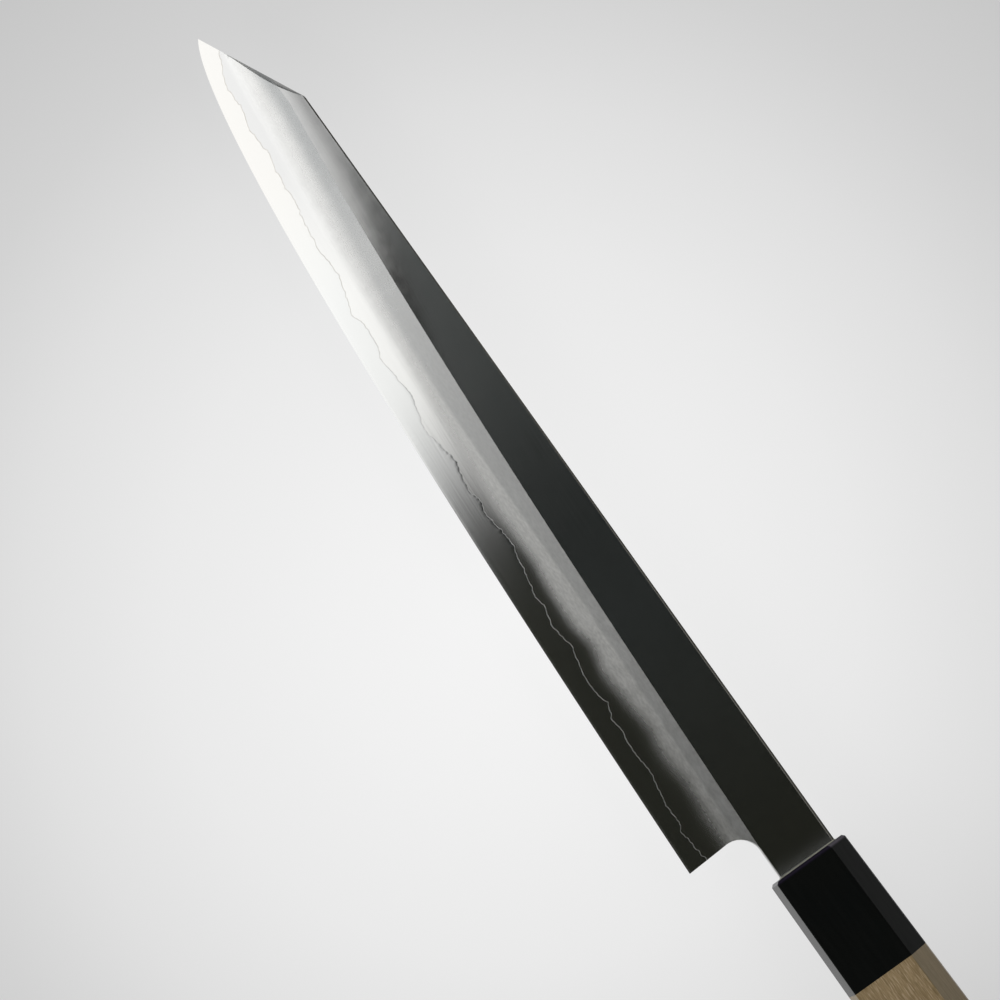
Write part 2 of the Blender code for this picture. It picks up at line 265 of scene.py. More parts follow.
# %% [markdown]
# ## The lamps
# Polished steel shows what it faces. In the photograph the tip half of the blade faces a large soft
# lamp, and the heel half faces a dark ceiling, so the same steel goes from white to nearly black.
# An area lamp would show with hard edges in the steel, so the large lamp is a glowing cloth that
# fades towards the two edges which the blade mirrors. A black card overhead makes the dark part,
# a little paler towards the lamp and warmer over the handle. Two plain lamps only add light:
# nothing shiny shows them.

# %% Lamps and the black card
LAMP_HEIGHT = 1.0
LAMP_STRENGTH = 1.62
RIM_STRENGTH = 0.115
LAMP_CORNER = Vector((-0.222, -0.223, LAMP_HEIGHT))
UPPER_NORMAL = Vector((0.43, 0.903, 0.0))
SIDE_NORMAL = Vector((0.998, -0.058, 0.0))
LAMP_OUTLINE = ((-0.1705, -0.2275), (-1.5555, 0.4285), (-1.95, -0.55), (-1.35, -1.75), (-0.26, -1.75))
CARD_HEIGHT = 1.3
CARD_OUTLINE = ((1.15, -0.85), (1.15, 0.95), (-0.85, 0.95), (-0.85, -0.85))


def stage_card(name, outline, height, material):
    """A flat card above the table, which the camera doesn't see."""
    bpy.ops.mesh.primitive_circle_add(vertices=len(outline), radius=1, fill_type="NGON")
    card = bpy.context.active_object
    card.name = name
    for vertex, (x, y) in zip(card.data.vertices, outline):
        vertex.co = (x, y, height)
    card.data.materials.append(material)
    card.visible_camera = False


def fade(nodes, normal, start, end):
    """1 inside the lamp's edge and 0 outside it, by the distance from its corner along normal."""
    offset = nodes.add("VectorMath", {0: nodes.place(), 1: LAMP_CORNER}, operation="SUBTRACT").outputs[0]
    along = nodes.add("VectorMath", {0: offset, 1: normal}, operation="DOT_PRODUCT").outputs["Value"]
    return nodes.ramp(along, start, end, smooth=True)


cloth, nodes = start_material("lamp_cloth")
upper = fade(nodes, UPPER_NORMAL, 0.008, -0.048)
fuller = nodes.mix(fade(nodes, SIDE_NORMAL, -0.01, -0.16), 0.90, 1.0)
side = nodes.times(fade(nodes, SIDE_NORMAL, 0.066, -0.052), fuller)
rim = nodes.times(fade(nodes, SIDE_NORMAL, -0.04, -0.17), RIM_STRENGTH)
strength = nodes.math("MAXIMUM", nodes.times(upper, side, LAMP_STRENGTH), rim)
finish(cloth, nodes, {"Strength": strength}, "Emission")
stage_card("tip_lamp", LAMP_OUTLINE, LAMP_HEIGHT, cloth)

black, nodes = start_material("black_card")
split = nodes.add("SeparateXYZ", {0: nodes.place()}).outputs
over_handle = nodes.ramp(split["X"], -0.11, 0.06)
over_bevel = nodes.ramp(split["Y"], -0.27, -0.35)
tone = nodes.mix(nodes.math("MAXIMUM", over_handle, over_bevel), (0.038, 0.042, 0.041), (0.027, 0.028, 0.022))
tone = nodes.mix(nodes.ramp(split["X"], -0.18, -0.44), tone, (0.13, 0.137, 0.137))
finish(black, nodes, {"Base Color": tone, "Roughness": 1.0, "Specular IOR Level": 0.0})
stage_card("overhead_card", CARD_OUTLINE, CARD_HEIGHT, black)


def plain_lamp(name, centre, size, brightness):
    """A rectangular lamp that faces the knife and that nothing shiny shows."""
    data = bpy.data.lights.new(name, "AREA")
    data.shape = "RECTANGLE"
    data.size, data.size_y = size
    data.energy = brightness * 4 * size[0] * size[1]
    lamp = bpy.data.objects.new(name, data)
    bpy.context.scene.collection.objects.link(lamp)
    lamp.location = centre
    lamp.rotation_euler = (-Vector(centre)).to_track_quat("-Z", "Y").to_euler()
    lamp.visible_camera = False
    lamp.visible_glossy = False


plain_lamp("edge_lamp", (-0.25, -1.6, 0.9), (1.6, 0.9), 3.4)
plain_lamp("spine_lamp", (0.0, 1.1, 1.0), (1.0, 0.5), 0.9)
print("lamps:", [lamp.name for lamp in bpy.data.lights], "and the glowing cloth")

# %% [markdown]
# ## Places on the knife
# The blade is drawn from its spine: how far ahead of the ferrule, how far up from the spine, and
# how far out to the left. It sits in the handle at a slight pitch. The ferrule's own box says where
# the handle starts.

# %% Places on the blade and the handle
BLADE_PITCH = math.radians(0.7)
SPINE_ABOVE_AXIS = 0.0093

ferrule_low, ferrule_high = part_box("ferrule")
body_low, body_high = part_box("handle_body")
HANDLE_FRONT = Vector((ferrule_low.x, (ferrule_low.y + ferrule_high.y) / 2, (ferrule_low.z + ferrule_high.z) / 2))
TO_BLADE = Matrix.Rotation(-BLADE_PITCH, 4, "Z")
TO_BLADE.translation = HANDLE_FRONT + Vector((0, SPINE_ABOVE_AXIS, 0))
FROM_BLADE = TO_BLADE.inverted()


def on_blade(ahead, up, side):
    return TO_BLADE @ Vector((-ahead, up, side))


def off_blade(point):
    """The way back, to (ahead, up, side)."""
    place = FROM_BLADE @ point
    return -place.x, place.y, place.z


def on_handle(along, up, side):
    return HANDLE_FRONT + Vector((along, up, side))


def limited(value):
    return min(max(value, 0.0), 1.0)


print("handle starts at", [round(1000 * value, 2) for value in HANDLE_FRONT], "mm")

# %% [markdown]
# ## The shape of the blade
# In section the blade has a flat upper face and, below a ridge, a wide convex bevel down to a
# narrow honed strip at the edge. Edge and ridge are two smooth curves. The formulas are those of
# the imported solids.

# %% Edge, ridge and thickness
TIP = Vector((0.284, -0.0151))
HEEL = Vector((0.015, -0.038))
HEEL_SLOPE = math.radians(1.7)
TIP_SLOPE = math.radians(36.3)
CLIP_AHEAD = 0.2524
NECK_HEIGHT = 0.0182
TANG_LENGTH = 0.100
CORE_HALF = 0.00046
FOOT_HALF = 0.0001
HONED_WIDTH = 0.0006
CORE_SHARE = 0.31
STATIONS = 900
EDGE_OVERRUN = 1.05


def edge_point(share):
    """Point of the cutting edge, from the heel at 0 to the tip at 1, as ahead and up."""
    leave = HEEL + 0.1015 * Vector((math.cos(HEEL_SLOPE), math.sin(HEEL_SLOPE)))
    arrive = TIP - 0.0225 * Vector((math.cos(TIP_SLOPE), math.sin(TIP_SLOPE)))
    rest = 1 - share
    return rest**3 * HEEL + 3 * rest**2 * share * leave + 3 * rest * share**2 * arrive + share**3 * TIP


EDGE = [edge_point(EDGE_OVERRUN * step / STATIONS) for step in range(STATIONS + 1)]
EDGE_AHEAD = [point.x for point in EDGE]


def edge_height(ahead):
    """Height of the cutting edge. Behind the heel its line runs on straight."""
    if ahead <= HEEL.x:
        return HEEL.y + (ahead - HEEL.x) * math.tan(HEEL_SLOPE)
    number = min(max(bisect_right(EDGE_AHEAD, ahead) - 1, 0), STATIONS - 1)
    start, end = EDGE[number], EDGE[number + 1]
    return start.y + (end.y - start.y) * ((ahead - start.x) / (end.x - start.x))


def ridge_height(ahead):
    """Height of the ridge, a smooth cubic from the neck to the clip."""
    share = limited(ahead / CLIP_AHEAD)
    neck_slope = math.tan(math.radians(1.9)) * CLIP_AHEAD
    clip_slope = math.tan(math.radians(6.0)) * CLIP_AHEAD
    return (
        -0.0181 * (1 + 2 * share) * (1 - share) ** 2
        + neck_slope * share * (1 - share) ** 2
        - 0.0044 * share**2 * (3 - 2 * share)
        + clip_slope * share**2 * (share - 1)
    )


def flat_half(ahead):
    """Half the thickness at the ridge and the spine, thinning towards the tip and the tang's end."""
    if ahead < 0:
        return 0.0012 + 0.0003 * ahead / TANG_LENGTH
    return 0.0012 - 0.00038 * ahead / CLIP_AHEAD


def bevel_half(share, ahead):
    """Half the thickness on the bevel, from its foot at 0 to the ridge at 1."""
    rise = flat_half(ahead) - FOOT_HALF
    power = math.log((CORE_HALF - FOOT_HALF) / rise) / math.log(CORE_SHARE)
    return FOOT_HALF + rise * max(share, 0.0) ** power


def bevel_share(ahead, up):
    """How far up the bevel a height is: 0 at its foot and 1 at the ridge."""
    foot = edge_height(ahead) + HONED_WIDTH
    return (up - foot) / (ridge_height(ahead) - foot)


print("bevel is", round(1000 * (ridge_height(0.15) - edge_height(0.15)), 1), "mm wide at mid blade")

# %% [markdown]
# ## The weld line
# The hard core was forge welded between two softer layers, and the bevel cuts through the weld. It
# shows as a fine wandering line, because the hammer moved the layers a little unevenly. The line
# isn't painted on: the layers really meet there. Its main kinks were measured on the photographed
# side, and noise adds small jags. The hidden side reads the same heights from the other end.

# %% Height of the weld line
WELD_LINE_MM = (
    (0, 6.4), (16, 6.1), (26, 4.4), (28, 5.4), (35, 5.3), (45, 6.8), (49, 5.7), (54, 5.7), (57, 6.6),
    (61, 5.7), (66, 7.2), (69, 6.2), (74, 5.6), (84, 7.5), (92, 5.9), (98, 7.3), (101, 6.3), (116, 9.0),
    (122, 8.4), (127, 7.2), (131, 7.9), (136, 6.8), (145, 8.2), (157, 5.2), (167, 7.3), (180, 5.1),
    (184, 6.6), (191, 6.0), (195, 4.8), (206, 7.2), (216, 5.8), (233, 6.8), (235, 6.1), (245, 6.9),
    (254, 5.0), (260, 5.8), (268, 4.3), (278, 6.1), (294, 7.0),
)  # fmt: skip
JAGS = ((0.30, 2.3, 3.7), (0.42, 1.2, 0.7), (0.26, 0.62, 8.2))


def around(table, ahead, side):
    """A place in mm, and the table's entries before and after it, on the left (1) or right (-1)."""
    far_end = table[-1][0]
    place = min(max(1000 * ahead if side > 0 else far_end - 1000 * ahead, 0.0), far_end)
    number = max(index for index, (start, value) in enumerate(table[:-1]) if start <= place)
    return place, table[number], table[number + 1]


def weld_height(ahead, side):
    """How high above the edge the core ends."""
    place, (start, low), (end, high) = around(WELD_LINE_MM, ahead, side)
    height = low + (high - low) * (place - start) / (end - start)
    for size, width, seed in JAGS:
        height += size * noise.noise(Vector((place / width, 2.1, seed)))
    return min(0.001 * height, 0.75 * (ridge_height(ahead) - edge_height(ahead)))


print("weld line in mm:", [round(1000 * weld_height(step / 100, 1), 1) for step in range(2, 28, 5)])

# %% [markdown]
# ## Modelling the three layers
# Each layer starts as a grid: one column for each station along the blade and one row for each
# point of its section. The points are moved onto the section's formula, the first and last rows
# are merged, and the open ends are filled. Such a loft follows the ridge and the edge exactly.

# %% Helpers that shape a grid
def only(piece):
    """Selects one piece alone."""
    bpy.ops.object.select_all(action="DESELECT")
    piece.select_set(True)
    bpy.context.view_layer.objects.active = piece


def edit(piece, select="SELECT"):
    only(piece)
    bpy.ops.object.mode_set(mode="EDIT")
    bpy.ops.mesh.select_all(action=select)


def leave_edit():
    bpy.ops.object.mode_set(mode="OBJECT")


def count(*pieces):
    return [(len(piece.data.vertices), len(piece.data.polygons)) for piece in pieces]


def face_outwards(piece):
    edit(piece)
    bpy.ops.mesh.normals_make_consistent(inside=False)
    leave_edit()


def lofted(name, rings):
    """A closed tube through rings of equal length, made from a grid, with its ends filled."""
    columns, rows = len(rings), len(rings[0]) + 1
    bpy.ops.mesh.primitive_grid_add(x_subdivisions=columns - 1, y_subdivisions=rows - 1, size=1)
    piece = bpy.context.active_object
    piece.name = name
    for vertex in piece.data.vertices:
        column = round((vertex.co.x + 0.5) * (columns - 1))
        row = round((vertex.co.y + 0.5) * (rows - 1))
        vertex.co = rings[column][row % (rows - 1)]
    edit(piece)
    bpy.ops.mesh.remove_doubles(threshold=0.0000005)
    bpy.ops.mesh.fill_holes(sides=0)
    leave_edit()
    face_outwards(piece)
    return piece


# %% Sections of the layers
FLAT_CROWN = 0.000014
SPINE_ROUND = 0.00062
TIP_ROUND = 0.00014
ROUND_STEPS = 5
FLAT_STEPS = 8
BEVEL_STEPS = 9
CORE_STEPS = 6
OVERLAP_UP = 0.0035


def spine_radius(ahead):
    """The spine is eased less and less towards the tip. The rounding stays outside the core."""
    radius = SPINE_ROUND + (TIP_ROUND - SPINE_ROUND) * limited((ahead - 0.06) / 0.13)
    return min(radius, flat_half(ahead) - CORE_HALF - 0.00002)


def bevel_places(ahead, side):
    """The bevel's foot, its height, and how far up it the weld lies."""
    edge = edge_height(ahead)
    foot = edge + HONED_WIDTH
    return foot, ridge_height(ahead) - foot, bevel_share(ahead, edge + weld_height(ahead, side))


def cladding_section(ahead, side):
    """Section of an outer layer: spine, flat, ridge, and the bevel down to the weld line."""
    foot, rise, share = bevel_places(ahead, side)
    ridge, half, radius = ridge_height(ahead), flat_half(ahead), spine_radius(ahead)
    turns = [math.pi / 2 * step / ROUND_STEPS for step in range(ROUND_STEPS + 1)]
    points = [(0.0, CORE_HALF)]
    points += [(-radius * (1 - math.cos(turn)), half - radius * (1 - math.sin(turn))) for turn in turns]
    top = points[-1][0] - 0.00004
    for step in range(FLAT_STEPS + 1):
        crown = FLAT_CROWN * math.sin(math.pi * step / FLAT_STEPS) * limited(ahead / 0.1)
        points.append((top + (ridge - top) * step / FLAT_STEPS, half + crown))
    for step in range(1, BEVEL_STEPS + 1):
        part = 1 - (1 - share) * step / BEVEL_STEPS
        points.append((foot + rise * part, bevel_half(part, ahead)))
    points.append((foot + rise * share + OVERLAP_UP, CORE_HALF))
    return points


def core_side(ahead, side):
    """One side of the core's section, from the spine down to just above the edge."""
    foot, rise, share = bevel_places(ahead, side)
    points = [(0.0, CORE_HALF), (foot + rise * share + OVERLAP_UP, CORE_HALF)]
    parts = [share * (1 - step / CORE_STEPS) for step in range(CORE_STEPS + 1)]
    return points + [(foot + rise * part, bevel_half(part, ahead)) for part in parts]


stations = [-TANG_LENGTH, -0.05, -0.002] + [HEEL.x * step / 16 for step in range(16)] + EDGE_AHEAD


def cladding_rings(side):
    return [[on_blade(ahead, up, side * out) for up, out in cladding_section(ahead, side)] for ahead in stations]


def core_ring(ahead):
    left = core_side(ahead, 1)
    right = [(up, -out) for up, out in reversed(core_side(ahead, -1))]
    return [on_blade(ahead, up, out) for up, out in left + [(edge_height(ahead), 0.0)] + right]


cladding_left = lofted("blade_cladding_left", cladding_rings(1))
cladding_right = lofted("blade_cladding_right", cladding_rings(-1))
core = lofted("blade_core_steel", [core_ring(ahead) for ahead in stations])
layers = [cladding_left, cladding_right, core]
print("stations:", len(stations), "points and faces:", count(*layers))

# %% [markdown]
# ## Cutting the outline
# The outline is cut after welding: the rounded notch at the heel with the neck above it, the
# narrow tang inside the handle, and the clip, which slopes down to the tip. The clip is a plain
# bisect. The notch is a Boolean, whose cutter flares where it leaves the steel, so that it rounds
# the neck's lower edges in the same stroke.

# %% The notch at the heel and the neck
CHOIL_RADIUS = 0.0065
CHOIL_LEAN = math.radians(3.0)
CHOIL_STEPS = 32
NECK_ROUND = 0.0006
BEYOND = 0.004


def choil_outline():
    """The notch's outline as (ahead, up, normal into the steel), from the handle to the heel."""
    lean = math.tan(CHOIL_LEAN)
    centre_up = -NECK_HEIGHT - CHOIL_RADIUS
    centre_ahead = HEEL.x + lean * (centre_up - HEEL.y) - CHOIL_RADIUS / math.cos(CHOIL_LEAN)
    points = [(-TANG_LENGTH - BEYOND, -NECK_HEIGHT, (0.0, 1.0)), (0.0, -NECK_HEIGHT, (0.0, 1.0))]
    for step in range(CHOIL_STEPS + 1):
        turn = math.pi / 2 - (math.pi / 2 + CHOIL_LEAN) * step / CHOIL_STEPS
        normal = (math.cos(turn), math.sin(turn))
        points.append((centre_ahead + CHOIL_RADIUS * normal[0], centre_up + CHOIL_RADIUS * normal[1], normal))
    end_normal = (math.cos(CHOIL_LEAN), -math.sin(CHOIL_LEAN))
    points.append((HEEL.x - lean * BEYOND, HEEL.y - BEYOND, end_normal))
    points.append((-TANG_LENGTH - BEYOND, HEEL.y - BEYOND, (0.0, 0.0)))
    return points


def flared_rows():
    """(side, how far the cutter reaches into the steel there), through the neck's thickness."""
    rows = [(0.0, 0.0)]
    for step in range(7):
        turn = math.radians(82) * step / 6
        rows.append((0.00119 - NECK_ROUND * (1 - math.sin(turn)), NECK_ROUND * (1 - math.cos(turn))))
    rows.append((0.0018, 1.6 * NECK_ROUND))
    return [(-side, reach) for side, reach in reversed(rows[1:])] + rows


def choil_ring(side, reach):
    outline = choil_outline()
    return [on_blade(ahead + reach * normal[0], up + reach * normal[1], side) for ahead, up, normal in outline]


def cut(cutter, *pieces):
    """Takes the cutter's shape out of the pieces and throws the cutter away."""
    for piece in pieces:
        only(piece)
        modifier = piece.modifiers.new("cut", "BOOLEAN")
        modifier.operation = "DIFFERENCE"
        modifier.solver = "EXACT"
        modifier.object = cutter
        bpy.ops.object.modifier_apply(modifier=modifier.name)
    bpy.data.objects.remove(cutter, do_unlink=True)


cut(lofted("choil_cutter", [choil_ring(side, reach) for side, reach in flared_rows()]), *layers)
print("after the notch:", count(*layers))

# %% The tang
TANG_HALF = 0.0045
TANG_TAPER = 0.002
CUTTER_FRONT = -0.00002
CUTTER_TOP = 0.05
CUTTER_HALF = 0.003


def block(corner):
    """A cube whose corners move to corner(x, y, z) on the handle. Each number is -0.5 or 0.5."""
    bpy.ops.mesh.primitive_cube_add(size=1)
    cutter = bpy.context.active_object
    for vertex in cutter.data.vertices:
        vertex.co = on_handle(*corner(*vertex.co))
    face_outwards(cutter)
    return cutter


def beside_tang(half):
    """What has to go above (1) or below (-1) the tang."""

    def corner(x, y, z):
        along = TANG_LENGTH + BEYOND if x > 0 else CUTTER_FRONT
        near = TANG_HALF - TANG_TAPER * along / TANG_LENGTH
        return along, half * (CUTTER_TOP if y > 0 else near), math.copysign(CUTTER_HALF, z)

    return block(corner)


cut(beside_tang(1), *layers)
cut(beside_tang(-1), *layers)
print("after the tang's cuts:", count(*layers))

# %% The clip and its two small facets
CLIP_START = Vector((CLIP_AHEAD, 0.0))
CLIP_ALONG = (TIP - CLIP_START).normalized()
CLIP_OUT = Vector((-CLIP_ALONG.y, CLIP_ALONG.x))
FACET_LENGTH = 0.0262
FACET_DEPTH = 0.00115
FACET_STEPS = 60
FACET_PROFILE = (
    (0.0, 0.0), (0.0003, 0.00004), (0.0007, 0.00014), (0.0011, 0.00028), (0.004, 0.0014), (0.004, -0.003), (0.0, -0.003)
)  # fmt: skip

for layer in layers:
    edit(layer)
    normal = TO_BLADE.to_3x3() @ Vector((-CLIP_OUT.x, CLIP_OUT.y, 0))
    bpy.ops.mesh.bisect(
        plane_co=on_blade(CLIP_AHEAD, 0, 0), plane_no=normal, use_fill=True, clear_outer=True, threshold=0.000001
    )
    bpy.ops.mesh.select_all(action="SELECT")
    bpy.ops.mesh.remove_doubles(threshold=0.0000005)
    leave_edit()


def facet_depth(share):
    """How far in from the clip the facet starts, from its end near the spine at 0 to 1."""
    return FACET_DEPTH * math.sin(math.pi * share**0.75) ** 1.2 if 0 < share < 1 else 0.0


def facet_cutter(side):
    """A slim rounded lens along the clip's edge, deepest near the spine and nothing at both ends."""
    rings = []
    for step in range(FACET_STEPS + 1):
        share = step / FACET_STEPS
        rim = CLIP_START + CLIP_ALONG * FACET_LENGTH * share - CLIP_OUT * facet_depth(share)
        part = bevel_share(rim.x, rim.y)
        half = flat_half(rim.x) if part >= 1 else bevel_half(part, rim.x)
        rings.append([on_blade(*(rim + CLIP_OUT * out), side * (half - drop)) for out, drop in FACET_PROFILE])
    return lofted("facet_cutter", rings)


cut(facet_cutter(1), cladding_left)
cut(facet_cutter(-1), cladding_right)
print("after the clip:", count(*layers))

# %% [markdown]
# ## Crisp edges and stored places
# The ridge, the foot of the bevel and the inner rim of the clip's facet are crisp lines of only a
# few degrees, so they are marked sharp by their place. Steeper ones are found by their angle. Each
# point also stores five numbers for the finish: how far ahead it is, how far up the bevel, how far
# above the weld line, how far below the spine (1 where its rounding ends), and where it lies in the
# scalloped border of the matte zone, whose waves were measured on the photo.

# %% Mark the crisp lines
def clip_place(ahead, up):
    """(share along the facet, distance in from the facet's rim) of a place near the clip."""
    offset = Vector((ahead, up)) - CLIP_START
    share = offset.dot(CLIP_ALONG) / FACET_LENGTH
    return share, -offset.dot(CLIP_OUT) - facet_depth(share)


def pick_edges(piece, chosen):
    """Selects the edges whose two points chosen(first, second) accepts, and stays in edit mode."""
    edit(piece, "DESELECT")
    leave_edit()
    bpy.context.tool_settings.mesh_select_mode = (False, True, False)
    for line in piece.data.edges:
        line.select = chosen(*line.vertices)
    bpy.ops.object.mode_set(mode="EDIT")


def mark_lines(piece):
    """Marks the edges that lie along the ridge, the foot of the bevel or the facet's rim."""
    shares, rims = [], []
    for vertex in piece.data.vertices:
        ahead, up, side = off_blade(vertex.co)
        along, inside = clip_place(ahead, up)
        shares.append(bevel_share(ahead, up))
        rims.append(0.04 < along < 0.9 and abs(inside) < 0.00001)

    def crisp(first, second):
        gap = min(max(abs(shares[first] - level), abs(shares[second] - level)) for level in (0.0, 1.0))
        return gap < 0.0005 or (rims[first] and rims[second])

    pick_edges(piece, crisp)
    bpy.ops.mesh.mark_sharp()
    leave_edit()
    bpy.ops.object.shade_smooth_by_angle(angle=math.radians(25), keep_sharp_edges=True)
    return sum(rims)


# %% Store the places
HAZE_WAVES = (
    (0, 0.0), (24, 0.0), (34, 0.03), (45, -0.02), (54, 0.035), (63, -0.005), (72, -0.045), (81, 0.03),
    (90, -0.025), (100, -0.01), (110, 0.03), (118, 0.01), (128, -0.012), (150, 0.012), (176, 0.02),
    (200, -0.01), (230, 0.015), (294, 0.0),
)  # fmt: skip
STORED = ("ahead", "share", "over_weld", "below_spine", "over_haze")


def over_haze(ahead, share, side):
    """Where a place lies in the matte zone's soft border: below it under -0.5, above it over 0.5."""
    place, (start, low), (end, high) = around(HAZE_WAVES, ahead, side)
    part = (place - start) / (end - start)
    wave = low + (high - low) * part * part * (3 - 2 * part)
    tipward = limited((ahead - 0.045) / 0.055)
    return (share - (0.575 - 0.045 * tipward + wave)) / (0.44 - 0.14 * tipward)


def store_places(piece, side):
    rows = []
    for vertex in piece.data.vertices:
        ahead, up, out = off_blade(vertex.co)
        this_side = side or (1 if out > 0 else -1)
        share = bevel_share(ahead, up)
        over_weld = 1000 * (up - edge_height(ahead) - weld_height(ahead, this_side))
        rows.append((ahead, share, over_weld, -up / spine_radius(ahead), over_haze(ahead, share, this_side)))
    for name, numbers in zip(STORED, zip(*rows)):
        piece.data.attributes.new(name, "FLOAT", "POINT")
        piece.data.attributes[name].data.foreach_set("value", numbers)


for piece, side in ((cladding_left, 1), (cladding_right, -1), (core, 0)):
    on_rim = mark_lines(piece)
    store_places(piece, side)
    print(piece.name, len(piece.data.polygons), "faces,", on_rim, "points on the facet's rim")

# %% [markdown]
# ## The finish of the blade
# The steel was ground, honed on stones and lightly buffed. The upper half of the bevel is matte
# and fades into the polished steel below it, along a scalloped line where the stone was lifted
# stroke by stroke. The polished part has hairlines along the blade, the flat is slightly mottled,
# and the weld line stays rough. All of this is one metal, so only its roughness, its brightness
# and its fine relief change. Part of the brightness is painted shade and painted reflection.

# %% The zones of the steel
HAIR_WIDTH = 0.021


def find_zones(nodes):
    """What the mesh stores, and the zones and the grain that follow from it."""
    zone = SimpleNamespace(place=nodes.place(), **{name: nodes.stored(name) for name in STORED})
    zone.tipward = nodes.ramp(zone.ahead, 0.08, 0.20)
    zone.flat = above(nodes, zone.share, 1.001, 0.002)
    zone.matte = nodes.math("SUBTRACT", above(nodes, zone.over_haze, 0.0, 1.0), zone.flat, clamp=True)
    strokes = nodes.add("CombineXYZ", {"X": zone.ahead, "Y": nodes.times(zone.share, HAIR_WIDTH)}).outputs[0]
    zone.hair = lines(nodes, strokes, 3400.0, 70.0, 0.5)
    zone.grain = lines(nodes, zone.place, 1700.0, 2.5, 1.0)
    zone.mottle = cloud(nodes, zone.place, 260.0)
    return zone


def weld_mark(nodes, zone):
    """A thin ragged band round the level of the weld, faintest at mid blade."""
    ragged = nodes.plus(nodes.times(zone.grain, 0.09), 0.03)
    near = nodes.math("DIVIDE", nodes.math("ABSOLUTE", zone.over_weld), ragged)
    mark = nodes.math("SUBTRACT", 1.25, near, clamp=True)
    clear = nodes.plus(
        nodes.ramp(zone.ahead, 0.12, 0.14, 1.0, 0.45), nodes.ramp(zone.ahead, 0.155, 0.19, 0.0, 0.40)
    )
    return nodes.times(mark, nodes.math("LESS_THAN", zone.share, 0.9), clear)


# %% How rough and how bright the steel is
def steel_roughness(nodes, zone, weld):
    polished = nodes.mix(zone.hair, 0.07, 0.12)
    mirror, satin = nodes.mix(zone.mottle, 0.055, 0.075), nodes.mix(zone.mottle, 0.16, 0.20)
    flat = nodes.mix(nodes.ramp(zone.ahead, 0.195, 0.242), mirror, satin)
    by_handle = nodes.times(zone.flat, nodes.ramp(zone.ahead, 0.0, 0.0055, 0.8, 0.0))
    matte = nodes.times(
        nodes.mix(zone.grain, 0.34, 0.42),
        nodes.ramp(zone.tipward, 0, 1, 1.0, 0.72),
        nodes.ramp(zone.ahead, 0.02, 0.09, 0.93, 1.0),
        nodes.mix(zone.mottle, 0.94, 1.06),
    )
    bevel = nodes.mix(zone.matte, polished, matte)
    rough = nodes.mix(zone.flat, bevel, nodes.mix(by_handle, flat, 0.34))
    return nodes.mix(weld, rough, nodes.ramp(zone.ahead, 0.11, 0.19, 0.55, 0.28))


def steel_tone(nodes, zone, weld, metal, tip_metal):
    tone = nodes.mix(nodes.ramp(zone.ahead, 0.20, 0.24), metal, tip_metal)

    # Hairlines are painted darker only where the lamp's edge is mirrored: a painted reflection.
    lamp_edge = nodes.times(nodes.ramp(zone.ahead, 0.09, 0.125), nodes.ramp(zone.ahead, 0.132, 0.16, 1.0, 0.0))
    hair_painted_reflection = nodes.times(lamp_edge, nodes.ramp(zone.hair, 0.40, 0.60, 0.0, 0.26))
    tone = nodes.mix(hair_painted_reflection, tone, (0.27, 0.27, 0.265))

    # The matte zone is frosted, evenly at the tip, and gets painted shade under the ridge.
    frosted = nodes.mix(zone.grain, (0.60, 0.598, 0.58), (0.94, 0.935, 0.91))
    frosted = nodes.mix(nodes.times(zone.tipward, 0.58), frosted, (0.69, 0.69, 0.68))
    tone = nodes.mix(zone.matte, tone, frosted)
    start = nodes.plus(nodes.ramp(zone.ahead, 0.09, 0.16, 0.83, 0.70), nodes.ramp(zone.ahead, 0.19, 0.24, 0.0, 0.10))
    ridge_painted_shade = above(nodes, zone.share, start, nodes.ramp(zone.ahead, 0.15, 0.22, 0.045, 0.26))
    depth = nodes.plus(nodes.ramp(zone.tipward, 0, 1, 0.42, 0.52), nodes.ramp(zone.ahead, 0.205, 0.24, 0.0, 0.36))
    tone = nodes.mix(nodes.times(ridge_painted_shade, zone.matte, depth), tone, (0.42, 0.43, 0.43))

    # The flat is faintly patchy. The spine's rounding gets painted shade: dark outside and paler inside.
    patches = nodes.mix(cloud(nodes, zone.place, 70.0), 0.0, 0.20)
    tone = nodes.mix(nodes.times(zone.flat, patches), tone, (0.42, 0.43, 0.42))
    tone = nodes.mix(nodes.ramp(zone.below_spine, 0.50, 0.62), (0.150, 0.143, 0.120), tone)
    tone = nodes.mix(nodes.ramp(zone.below_spine, 0.12, 0.22), (0.035, 0.034, 0.030), tone)
    weld_tone = nodes.mix(nodes.ramp(zone.ahead, 0.15, 0.20), (0.72, 0.72, 0.71), (0.37, 0.335, 0.275))
    return nodes.mix(weld, tone, weld_tone)


# %% Steel
def make_steel(name, metal, tip_metal):
    """Polished and matte steel, with its zones."""
    material, nodes = start_material(name)
    zone = find_zones(nodes)
    weld = weld_mark(nodes, zone)
    hair_relief = nodes.times(zone.hair, nodes.ramp(zone.flat, 0, 1, 1.2, 0.5))
    relief = nodes.mix(zone.matte, hair_relief, nodes.times(zone.grain, 0.7))
    values = {
        "Base Color": steel_tone(nodes, zone, weld, metal, tip_metal),
        "Roughness": steel_roughness(nodes, zone, weld),
        "Normal": nodes.bump(relief, 0.0000022),
        "Metallic": 1.0,
    }
    return finish(material, nodes, values)


cladding_steel = make_steel("cladding_steel", (0.61, 0.61, 0.595), (0.535, 0.535, 0.53))
core_steel = make_steel("core_steel", (0.59, 0.595, 0.585), (0.60, 0.592, 0.572))
print("steel nodes:", len(cladding_steel.node_tree.nodes))
